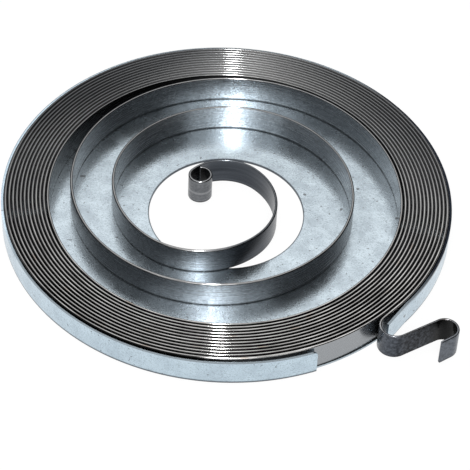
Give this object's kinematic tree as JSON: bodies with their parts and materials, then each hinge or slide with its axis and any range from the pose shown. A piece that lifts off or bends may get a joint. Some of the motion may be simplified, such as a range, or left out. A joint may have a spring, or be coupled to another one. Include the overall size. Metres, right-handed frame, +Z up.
{
  "type": "recoil starter spring",
  "caption": "Flat spiral spring strip with a rolled inner eye and a bent outer hook, wound in a shallow pressed-steel case; it rewinds the cord of a pull starter.",
  "frame": {"origin": "middle of the underside of the case", "axes": "+Z up, out of the open side of the case; -Y towards the viewer of the picture, with the hook at the right front"},
  "size_m": [0.078, 0.078, 0.0054],
  "materials": {
    "zinc_sheet": "zinc plated, semi-bright",
    "spring_steel": "tempered, dark satin"
  },
  "bodies": {
    "root": {"spring_case": "zinc_sheet", "spring_strip": "spring_steel"}
  },
  "joints": []
}
